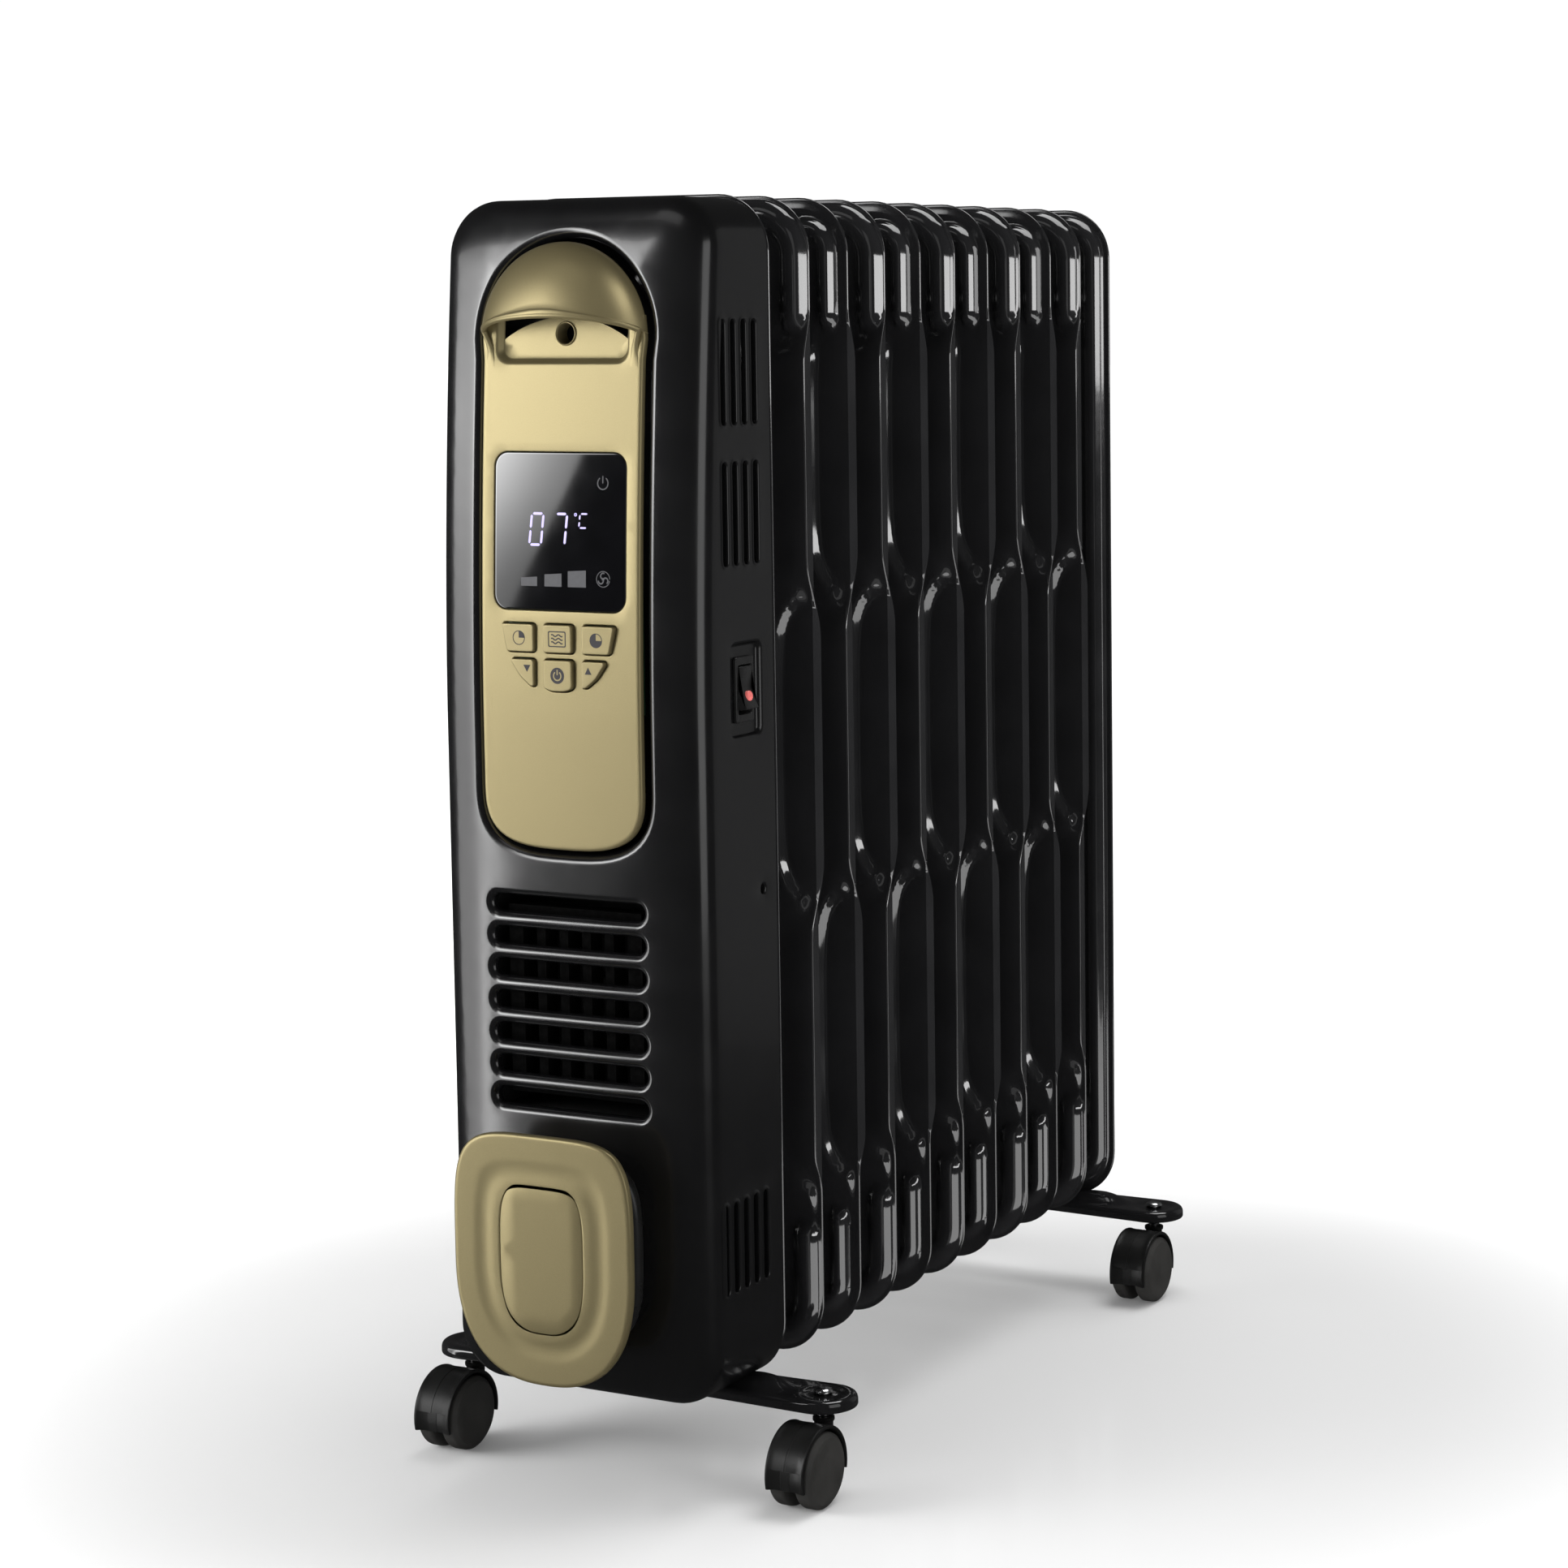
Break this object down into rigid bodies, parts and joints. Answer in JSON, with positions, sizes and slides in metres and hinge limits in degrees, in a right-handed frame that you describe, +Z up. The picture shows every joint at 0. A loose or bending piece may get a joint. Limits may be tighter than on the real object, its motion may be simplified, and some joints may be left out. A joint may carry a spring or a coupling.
{
  "type": "oil filled radiator heater",
  "caption": "Tall finned oil radiator on swivel castors, with a slim front housing, control panel, fan louvres and cord winder.",
  "frame": {"origin": "on the floor, under the middle of the whole heater's box", "axes": "+Z up, +X to the heater's right side seen from the front, and the control panel faces -Y"},
  "size_m": [0.24, 0.495, 0.6315],
  "materials": {
    "black_enamel": "gloss black baked enamel",
    "gold_finish": "satin champagne gold paint on moulded plastic",
    "black_plastic": "black moulded plastic",
    "castor_plastic": "black nylon, fine grain",
    "bright_steel": "bright zinc plated steel",
    "grey_plastic": "heat resistant grey plastic",
    "heater_grid": "black coated aluminium fins",
    "display_glass": "black tinted display window",
    "circuit_board": "green solder mask",
    "red_lens": "red translucent lens"
  },
  "bodies": {
    "radiator": {"fin_1": "black_enamel", "fin_2": "black_enamel", "fin_3": "black_enamel", "fin_4": "black_enamel", "fin_5": "black_enamel", "fin_6": "black_enamel", "fin_7": "black_enamel", "fin_8": "black_enamel", "fin_9": "black_enamel", "front_end_fin": "black_enamel", "rear_end_fin": "black_enamel", "front_cover": "black_enamel", "front_foot": "black_enamel", "rear_foot": "black_enamel", "control_panel": "gold_finish", "winder_plate": "gold_finish", "winder_inlay": "gold_finish", "rocker_bezel": "black_plastic", "winder_hub": "black_plastic", "cord_gland": "black_plastic", "tip_over_switch": "black_plastic", "heating_element": "bright_steel", "front_u_bolt": "bright_steel", "rear_u_bolt": "bright_steel", "fan_motor": "bright_steel", "fan_duct": "grey_plastic", "thermal_cutout": "grey_plastic", "ptc_element": "heater_grid", "display_window": "display_glass", "control_board": "circuit_board", "front_left_wing_nut": "bright_steel", "front_left_stem": "bright_steel", "front_right_wing_nut": "bright_steel", "front_right_stem": "bright_steel", "rear_left_wing_nut": "bright_steel", "rear_left_stem": "bright_steel", "rear_right_wing_nut": "bright_steel", "rear_right_stem": "bright_steel"},
    "front_left_castor": {"front_left_castor": "castor_plastic"},
    "front_left_wheel_a": {"front_left_wheel_a": "castor_plastic"},
    "front_left_wheel_b": {"front_left_wheel_b": "castor_plastic"},
    "front_right_castor": {"front_right_castor": "castor_plastic"},
    "front_right_wheel_a": {"front_right_wheel_a": "castor_plastic"},
    "front_right_wheel_b": {"front_right_wheel_b": "castor_plastic"},
    "rear_left_castor": {"rear_left_castor": "castor_plastic"},
    "rear_left_wheel_a": {"rear_left_wheel_a": "castor_plastic"},
    "rear_left_wheel_b": {"rear_left_wheel_b": "castor_plastic"},
    "rear_right_castor": {"rear_right_castor": "castor_plastic"},
    "rear_right_wheel_a": {"rear_right_wheel_a": "castor_plastic"},
    "rear_right_wheel_b": {"rear_right_wheel_b": "castor_plastic"},
    "key_on_timer": {"key_on_timer": "gold_finish"},
    "key_heat_mode": {"key_heat_mode": "gold_finish"},
    "key_off_timer": {"key_off_timer": "gold_finish"},
    "key_down": {"key_down": "gold_finish"},
    "key_power": {"key_power": "gold_finish"},
    "key_up": {"key_up": "gold_finish"},
    "rocker": {"rocker": "black_plastic", "rocker_lens": "red_lens"},
    "fan_impeller": {"fan_impeller": "grey_plastic"}
  },
  "joints": [
    {"name": "front_left_swivel", "type": "hinge", "parent": "radiator", "child": "front_left_castor", "pos_m": [-0.103, -0.1595, 0.0325], "axis": [0, 0, 1], "continuous": true},
    {"name": "front_left_wheel_a_spin", "type": "hinge", "parent": "front_left_castor", "child": "front_left_wheel_a", "pos_m": [-0.103, -0.177, 0.0187], "axis": [1, 0, 0], "continuous": true},
    {"name": "front_left_wheel_b_spin", "type": "hinge", "parent": "front_left_castor", "child": "front_left_wheel_b", "pos_m": [-0.103, -0.177, 0.0187], "axis": [1, 0, 0], "continuous": true},
    {"name": "front_right_swivel", "type": "hinge", "parent": "radiator", "child": "front_right_castor", "pos_m": [0.103, -0.1595, 0.0325], "axis": [0, 0, 1], "continuous": true},
    {"name": "front_right_wheel_a_spin", "type": "hinge", "parent": "front_right_castor", "child": "front_right_wheel_a", "pos_m": [0.103, -0.177, 0.0187], "axis": [1, 0, 0], "continuous": true},
    {"name": "front_right_wheel_b_spin", "type": "hinge", "parent": "front_right_castor", "child": "front_right_wheel_b", "pos_m": [0.103, -0.177, 0.0187], "axis": [1, 0, 0], "continuous": true},
    {"name": "rear_left_swivel", "type": "hinge", "parent": "radiator", "child": "rear_left_castor", "pos_m": [-0.103, 0.2305, 0.0325], "axis": [0, 0, 1], "continuous": true},
    {"name": "rear_left_wheel_a_spin", "type": "hinge", "parent": "rear_left_castor", "child": "rear_left_wheel_a", "pos_m": [-0.103, 0.213, 0.0187], "axis": [1, 0, 0], "continuous": true},
    {"name": "rear_left_wheel_b_spin", "type": "hinge", "parent": "rear_left_castor", "child": "rear_left_wheel_b", "pos_m": [-0.103, 0.213, 0.0187], "axis": [1, 0, 0], "continuous": true},
    {"name": "rear_right_swivel", "type": "hinge", "parent": "radiator", "child": "rear_right_castor", "pos_m": [0.103, 0.2305, 0.0325], "axis": [0, 0, 1], "continuous": true},
    {"name": "rear_right_wheel_a_spin", "type": "hinge", "parent": "rear_right_castor", "child": "rear_right_wheel_a", "pos_m": [0.103, 0.213, 0.0187], "axis": [1, 0, 0], "continuous": true},
    {"name": "rear_right_wheel_b_spin", "type": "hinge", "parent": "rear_right_castor", "child": "rear_right_wheel_b", "pos_m": [0.103, 0.213, 0.0187], "axis": [1, 0, 0], "continuous": true},
    {"name": "key_on_timer_press", "type": "slide", "parent": "radiator", "child": "key_on_timer", "axis": [0, 1, 0], "range_m": [0, 0.0012], "stiffness_N_per_m": 400},
    {"name": "key_heat_mode_press", "type": "slide", "parent": "radiator", "child": "key_heat_mode", "axis": [0, 1, 0], "range_m": [0, 0.0012], "stiffness_N_per_m": 400},
    {"name": "key_off_timer_press", "type": "slide", "parent": "radiator", "child": "key_off_timer", "axis": [0, 1, 0], "range_m": [0, 0.0012], "stiffness_N_per_m": 400},
    {"name": "key_down_press", "type": "slide", "parent": "radiator", "child": "key_down", "axis": [0, 1, 0], "range_m": [0, 0.0012], "stiffness_N_per_m": 400},
    {"name": "key_power_press", "type": "slide", "parent": "radiator", "child": "key_power", "axis": [0, 1, 0], "range_m": [0, 0.0012], "stiffness_N_per_m": 400},
    {"name": "key_up_press", "type": "slide", "parent": "radiator", "child": "key_up", "axis": [0, 1, 0], "range_m": [0, 0.0012], "stiffness_N_per_m": 400},
    {"name": "rocker_tilt", "type": "hinge", "parent": "radiator", "child": "rocker", "pos_m": [0.0705, -0.1745, 0.3957], "axis": [0, 1, 0], "range_deg": [0, 20]},
    {"name": "fan_spin", "type": "hinge", "parent": "radiator", "child": "fan_impeller", "pos_m": [0, -0.1894, 0.2446], "axis": [0, 1, 0], "continuous": true}
  ]
}
